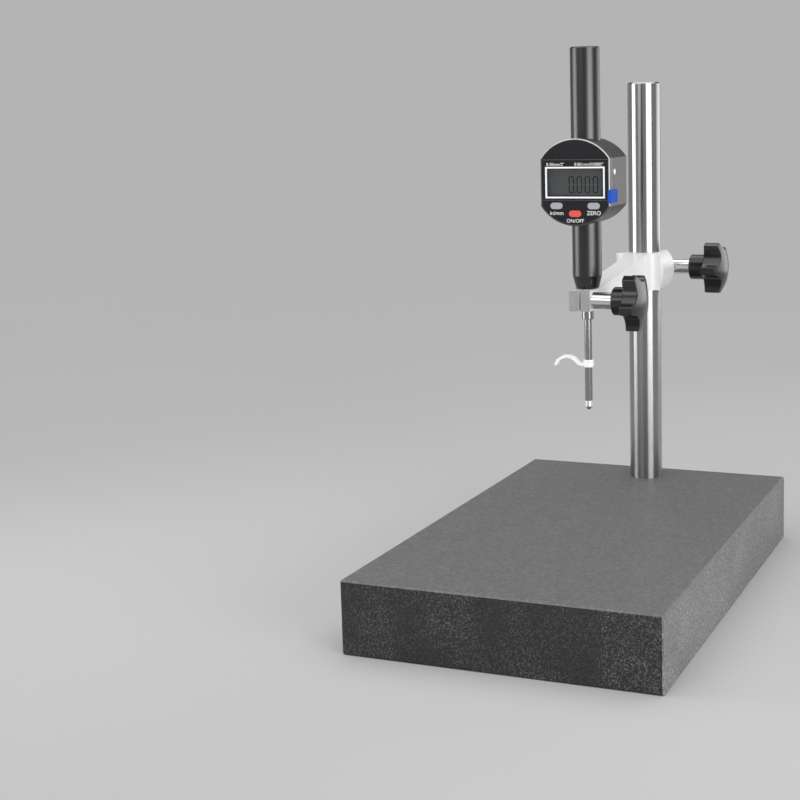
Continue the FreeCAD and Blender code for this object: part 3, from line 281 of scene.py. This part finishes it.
def cast_paint():
    """Satin white paint over a casting; the clamp block's front face is bare and machined."""
    paint = (0.80, 0.80, 0.81)
    bare = (0.31, 0.31, 0.30)
    low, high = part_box("arm_casting")
    nodes = Nodes("cast_paint", paint, 0.32, Coat_Weight=0.25, Coat_Roughness=0.2)
    along = nodes.axis(nodes.place, "Y")
    face = nodes.math("LESS_THAN", along, low.y + BARE_DEPTH)
    peel = nodes.noise(900.0, 3.0)
    cast = nodes.noise(160.0, 4.0)
    painted = nodes.ramp(cast, [(0.3, shade(paint, 0.965)), (0.7, shade(paint, 1.02))])
    milled = nodes.noise(1.0, 2.0, 0.6, stretch=(2600.0, 60.0, 120.0))
    metal = nodes.ramp(milled, [(0.3, shade(bare, 0.86)), (0.7, shade(bare, 1.12))])
    nodes.colour(nodes.mix(face, painted, metal))
    nodes.rough(peel, 0.28, 0.38)
    nodes.bump(peel, 0.06, 0.00004)
    return nodes.material


def bezel_paint():
    """The bezel's grey paint, with a painted highlight on the upper and right parts of its front chamfer.
    """
    paint = (0.055, 0.055, 0.058)
    nodes = Nodes("bezel_paint", paint, 0.38, Specular_IOR_Level=0.35)
    facing = nodes.add("ShaderNodeNewGeometry").outputs["True Normal"]
    ahead = nodes.axis(facing, "Y")
    least, most = CHAMFER_FACING
    steep = nodes.math("LESS_THAN", ahead, most)
    slope = nodes.math("MULTIPLY", steep, nodes.math("GREATER_THAN", ahead, least))
    upward = nodes.math("GREATER_THAN", nodes.axis(facing, "Z"), 0.2)
    rightward = nodes.math("GREATER_THAN", nodes.axis(facing, "X"), 0.6)
    # painted highlight: the upper and right parts of the front chamfer get a bright grey, standing in for a
    # glint
    painted_highlight_edge = nodes.math("MULTIPLY", slope, nodes.math("MAXIMUM", upward, rightward))
    field = nodes.noise(900.0)
    painted = nodes.ramp(field, [(0.3, shade(paint, 0.88)), (0.7, shade(paint, 1.12))])
    nodes.colour(nodes.mix(painted_highlight_edge, painted, (0.62, 0.62, 0.60)))
    nodes.rough(field, 0.32, 0.42)
    nodes.bump(field, 0.05, FINE_GRAIN)
    return nodes.material


def window():
    """Thin clear window: mostly see-through, with gloss."""
    nodes = Nodes("window", (0.05, 0.055, 0.055), 0.05, Alpha=0.06, Specular_IOR_Level=0.2)
    nodes.rough(nodes.noise(300.0), 0.03, 0.07)
    nodes.material.surface_render_method = "BLENDED"
    return nodes.material


def materials():
    return {
        "granite": granite(),
        "column_steel": turned_steel("column_steel", (0.37, 0.37, 0.374), 0.21, relief=0.01,
                                     Anisotropic=1.0, Anisotropic_Rotation=0.25),
        "bright_steel": turned_steel("bright_steel", (0.32, 0.32, 0.33), 0.16, relief=0.02),
        "fluted_steel": turned_steel("fluted_steel", (0.80, 0.80, 0.81), 0.40, relief=0.1),
        "sleeve_steel": turned_steel("sleeve_steel", (0.72, 0.72, 0.73), 0.18, relief=0.02),
        "zinc": turned_steel("zinc", (0.62, 0.62, 0.60), 0.3),
        "brass": turned_steel("brass", (0.72, 0.53, 0.24), 0.25),
        "cast_paint": cast_paint(),
        "bezel_paint": bezel_paint(),
        "case_paint": mottled("case_paint", (0.042, 0.040, 0.043), 0.40, scale=1200.0,
                              Specular_IOR_Level=0.35),
        "tube_black": mottled("tube_black", (0.004, 0.004, 0.0045), 0.30, scale=1500.0,
                              Specular_IOR_Level=0.75),
        "nose_black": mottled("nose_black", (0.014, 0.014, 0.015), 0.16, scale=1500.0),
        "knob_black": mottled("knob_black", (0.010, 0.010, 0.011), 0.20, scale=900.0,
                              Specular_IOR_Level=0.55),
        "face_black": mottled("face_black", (0.010, 0.010, 0.012), 0.22, scale=600.0,
                              Specular_IOR_Level=0.4),
        "inner_black": mottled("inner_black", (0.03, 0.03, 0.03), 0.6),
        "rubber": mottled("rubber", (0.03, 0.03, 0.03), 0.75),
        "white_plastic": mottled("white_plastic", (0.92, 0.93, 0.95), 0.35, spread=0.02),
        "ink_white": mottled("ink_white", (0.90, 0.90, 0.90), 0.5, spread=0.04),
        "ink_grey": mottled("ink_grey", (0.16, 0.16, 0.16), 0.5, spread=0.04),
        "key_grey": mottled("key_grey", (0.37, 0.38, 0.40), 0.42, spread=0.05),
        "key_red": mottled("key_red", (0.72, 0.090, 0.065), 0.40, spread=0.05),
        "cover_blue": mottled("cover_blue", (0.022, 0.088, 0.46), 0.5, spread=0.06,
                              Specular_IOR_Level=0.02),
        "display": mottled("display", (0.078, 0.083, 0.085), 0.7, spread=0.04, Specular_IOR_Level=0.2),
        "digit": mottled("digit", (0.016, 0.017, 0.018), 0.7, spread=0.04, Specular_IOR_Level=0.2),
        "board": mottled("board", (0.02, 0.16, 0.06), 0.45),
        "window": window(),
    }


FINISHES = {
    "granite": ["granite_base"],
    "column_steel": ["column"],
    "bright_steel": ["stem", "spindle", "contact_ball", "guide_rod"],
    "fluted_steel": ["contact_point"],
    "sleeve_steel": ["rear_spacer", "front_spacer"],
    "zinc": ["column_washer", "column_bolt", "rear_stud", "front_stud", "cover_screws", "board_screws",
             "return_spring", "button_cell"],
    "brass": ["upper_bush", "rear_knob_insert", "front_knob_insert", "scale_carrier"],
    "cast_paint": ["arm_casting"],
    "bezel_paint": ["front_bezel"],
    "case_paint": ["case_shell", "back_cover"],
    "tube_black": ["upper_tube", "tube_cap", "lower_sleeve"],
    "nose_black": ["sleeve_nose"],
    "knob_black": ["rear_knob", "front_knob"],
    "face_black": ["face_plate"],
    "inner_black": ["cell_holder", "sensor_head", "data_socket", "scale_strip"],
    "rubber": ["button_mat", "cover_gasket"],
    "white_plastic": ["lift_lever", "lcd_frame", "side_plug"],
    "key_grey": ["unit_button", "zero_button"],
    "key_red": ["power_button"],
    "cover_blue": ["port_cover"],
    "display": ["lcd_panel"],
    "board": ["circuit_board"],
    "window": ["lcd_lens"],
}


def dress(nodes, looks):
    for finish, names in FINISHES.items():
        for name in names:
            for place in nodes[name].material_slots:
                place.material = looks[finish]


# Return spring
def closing_spring(node, look):
    """A copy of the return spring in the given finish, with the CAD spring hidden."""
    piece = bpy.data.objects.new("closing_spring", node.data.copy())
    bpy.context.collection.objects.link(piece)
    piece.matrix_world = node.matrix_world.copy()
    piece.data.materials.clear()
    piece.data.materials.append(look)
    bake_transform(piece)
    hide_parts("return_spring")


# Printing on the face
def flat_mesh(name, polygons, y, depth):
    """Thin prisms along Y from closed outlines of (x, z)."""
    points = []
    faces = []
    for outline in polygons:
        first = len(points)
        count = len(outline)
        points += [(x, y, z) for x, z in outline] + [(x, y + depth, z) for x, z in outline]
        faces.append(tuple(range(first, first + count)))
        faces.append(tuple(range(first + 2 * count - 1, first + count - 1, -1)))
        for n in range(count):
            after = (n + 1) % count
            faces.append((first + n, first + count + n, first + count + after, first + after))
    mesh = bpy.data.meshes.new(name)
    mesh.from_pydata(points, [], faces)
    mesh.update()
    piece = bpy.data.objects.new(name, mesh)
    bpy.context.collection.objects.link(piece)
    return piece


def bar(x0, x1, z0, z1):
    return [(x0, z0), (x1, z0), (x1, z1), (x0, z1)]


def segment(x0, z0, x1, z1):
    """A display segment with pointed ends between two points, upright or level."""
    half = DIGIT_BAR / 2
    if abs(x1 - x0) > abs(z1 - z0):
        x0 += DIGIT_GAP
        x1 -= DIGIT_GAP
        return [(x0, z0), (x0 + half, z0 - half), (x1 - half, z0 - half), (x1, z0),
                (x1 - half, z0 + half), (x0 + half, z0 + half)]
    z0 += DIGIT_GAP
    z1 -= DIGIT_GAP
    return [(x0, z0), (x0 + half, z0 + half), (x0 + half, z1 - half), (x0, z1),
            (x0 - half, z1 - half), (x0 - half, z0 + half)]


def digit(character, x, z):
    """Outlines of one digit whose lower left corner is x, z."""
    left = x + DIGIT_BAR / 2
    right = x + DIGIT_WIDTH - DIGIT_BAR / 2
    low = z + DIGIT_BAR / 2
    high = z + DIGIT_HEIGHT - DIGIT_BAR / 2
    middle = (low + high) / 2
    ends = {
        "a": (left, high, right, high), "b": (right, middle, right, high), "c": (right, low, right, middle),
        "d": (left, low, right, low), "e": (left, low, left, middle), "f": (left, middle, left, high),
        "g": (left, middle, right, middle),
    }
    return [segment(*ends[name]) for name in SEGMENTS[character]]


def display_digits(look):
    low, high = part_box("lcd_lens")
    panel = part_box("lcd_panel")[0].y
    x = high.x - DIGIT_RIGHT - DIGIT_WIDTH
    z = (low.z + high.z) / 2 - DIGIT_HEIGHT / 2 - DIGIT_DROP
    outlines = []
    for character in reversed(DISPLAY_TEXT):
        if character == ".":
            dot = x + DIGIT_STEP - (DIGIT_STEP - DIGIT_WIDTH) / 2 - DIGIT_BAR / 2
            outlines.append(bar(dot, dot + DIGIT_BAR, z, z + DIGIT_BAR))
        else:
            outlines += digit(character, x, z)
            x -= DIGIT_STEP
    piece = flat_mesh("display_digits", outlines, panel - 2 * LIFT, LIFT)
    return finish(piece, look)


def finish(piece, look):
    piece.data.materials.append(look)
    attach(piece, "indicator")
    return piece


def face_lines(look):
    low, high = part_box("face_plate")
    middle = (low.z + high.z) / 2
    outlines = []
    for z in (middle + UPPER_LINE_UP, middle - LOWER_LINE_DOWN):
        outlines.append(bar(low.x, high.x, z - LINE_WIDTH / 2, z + LINE_WIDTH / 2))
    return finish(flat_mesh("face_lines", outlines, low.y - LIFT, LIFT), look)


def label(name, words, x, z, height, look, align="CENTER"):
    """Words printed on the face plate, with the middle of their height at z."""
    curve = bpy.data.curves.new(name, "FONT")
    curve.body = words
    curve.size = height / CAPITAL_SHARE
    curve.align_x = align
    curve.align_y = "CENTER"
    curve.extrude = LIFT / 2
    piece = bpy.data.objects.new(name, curve)
    bpy.context.collection.objects.link(piece)
    piece.rotation_euler = (math.pi / 2, 0, 0)
    piece.location = (x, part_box("face_plate")[0].y - LIFT / 2, z)
    return finish(piece, look)


def printing(looks):
    ink = looks["ink_white"]
    plate_low, plate_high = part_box("face_plate")
    frame_low, frame_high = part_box("lcd_frame")
    for name, words, height in (("unit_button", "in/mm", UNIT_HEIGHT), ("zero_button", "ZERO", ZERO_HEIGHT),
                                ("power_button", "ON/OFF", POWER_HEIGHT)):
        low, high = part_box(name)
        label(name + "_label", words, (low.x + high.x) / 2, low.z - LABEL_DOWN, height, ink)
    row = (frame_high.z + (plate_low.z + plate_high.z) / 2 + UPPER_LINE_UP) / 2 - SPEC_DOWN
    left = frame_low.x + SPEC_INSET
    right = frame_high.x - SPEC_INSET
    label("range_label", "0-50mm/2\"", left, row, RANGE_HEIGHT, ink, "LEFT")
    label("step_label", "0.001mm/0.00005\"", right, row, STEP_HEIGHT, ink, "RIGHT")
    face_lines(looks["ink_grey"])
    display_digits(looks["digit"])


# Floor, light and camera
def floor():
    bpy.ops.mesh.primitive_plane_add(size=FLOOR_SIZE)
    plane = bpy.context.object
    plane.name = "floor"
    nodes = Nodes("floor_paint", FLOOR_GREY, 0.9, Specular_IOR_Level=0.0)
    worn = nodes.noise(3.0)
    nodes.colour(nodes.ramp(worn, [(0.3, shade(FLOOR_GREY, 0.99)), (0.7, shade(FLOOR_GREY, 1.01))]))
    plane.data.materials.append(nodes.material)


def world():
    """A plain studio room: a pale backdrop at the horizon, dimmer walls and a soft bright ceiling."""
    scene_world = bpy.data.worlds.new("studio")
    bpy.context.scene.world = scene_world
    scene_world.use_nodes = True
    tree = scene_world.node_tree
    place = tree.nodes.new("ShaderNodeTexCoord")
    split = tree.nodes.new("ShaderNodeSeparateXYZ")
    height = tree.nodes.new("ShaderNodeValToRGB")
    stops = [(BACKDROP_TO, BACKDROP), (WALL_FROM, WALL), (WALL_TO, WALL), (CEILING_FROM, CEILING)]
    while len(height.color_ramp.elements) < len(stops):
        height.color_ramp.elements.new(0.5)
    for element, (position, level) in zip(height.color_ramp.elements, stops):
        element.position = position
        element.color = (level, level, level, 1)
    room = tree.nodes["Background"]
    tree.links.new(place.outputs["Generated"], split.inputs[0])
    tree.links.new(split.outputs["Z"], height.inputs["Fac"])
    tree.links.new(height.outputs["Color"], room.inputs["Color"])


def softbox(name, azimuth, distance, height, size, power, spread):
    """An area lamp that looks at the object's middle; azimuth from +X towards +Y."""
    lamp = bpy.data.lights.new(name, "AREA")
    lamp.shape = "RECTANGLE"
    lamp.size, lamp.size_y = size
    lamp.energy = power
    lamp.spread = math.radians(spread)
    holder = bpy.data.objects.new(name, lamp)
    bpy.context.collection.objects.link(holder)
    turn = math.radians(azimuth)
    holder.location = (distance * math.cos(turn), distance * math.sin(turn), height)
    aim = OBJECT_MIDDLE - holder.location
    holder.rotation_euler = aim.to_track_quat("-Z", "Y").to_euler()
    holder.visible_camera = False


def camera():
    lens = bpy.data.cameras.new("camera")
    lens.lens = CAMERA_LENS
    lens.sensor_width = CAMERA_SENSOR
    lens.shift_x, lens.shift_y = CAMERA_SHIFT
    lens.clip_start = CAMERA_NEAR
    holder = bpy.data.objects.new("camera", lens)
    bpy.context.collection.objects.link(holder)
    level = math.cos(CAMERA_DOWN)
    ahead = Vector((-math.sin(CAMERA_LEFT) * level, math.cos(CAMERA_LEFT) * level, -math.sin(CAMERA_DOWN)))
    right = Vector((math.cos(CAMERA_LEFT), math.sin(CAMERA_LEFT), 0))
    up = right.cross(ahead)
    across = math.cos(CAMERA_ROLL) * right + math.sin(CAMERA_ROLL) * up
    upright = math.cos(CAMERA_ROLL) * up - math.sin(CAMERA_ROLL) * right
    turn = Matrix((across, upright, -ahead)).transposed()
    holder.matrix_world = Matrix.Translation(CAMERA_PLACE) @ turn.to_4x4()
    bpy.context.scene.camera = holder


bpy.context.scene.view_settings.view_transform = "Standard"
looks = materials()
dress(frame["nodes"], looks)
closing_spring(frame["nodes"]["return_spring"], looks["zinc"])
printing(looks)
floor()
world()
for lamp in LAMPS:
    softbox(*lamp)
camera()
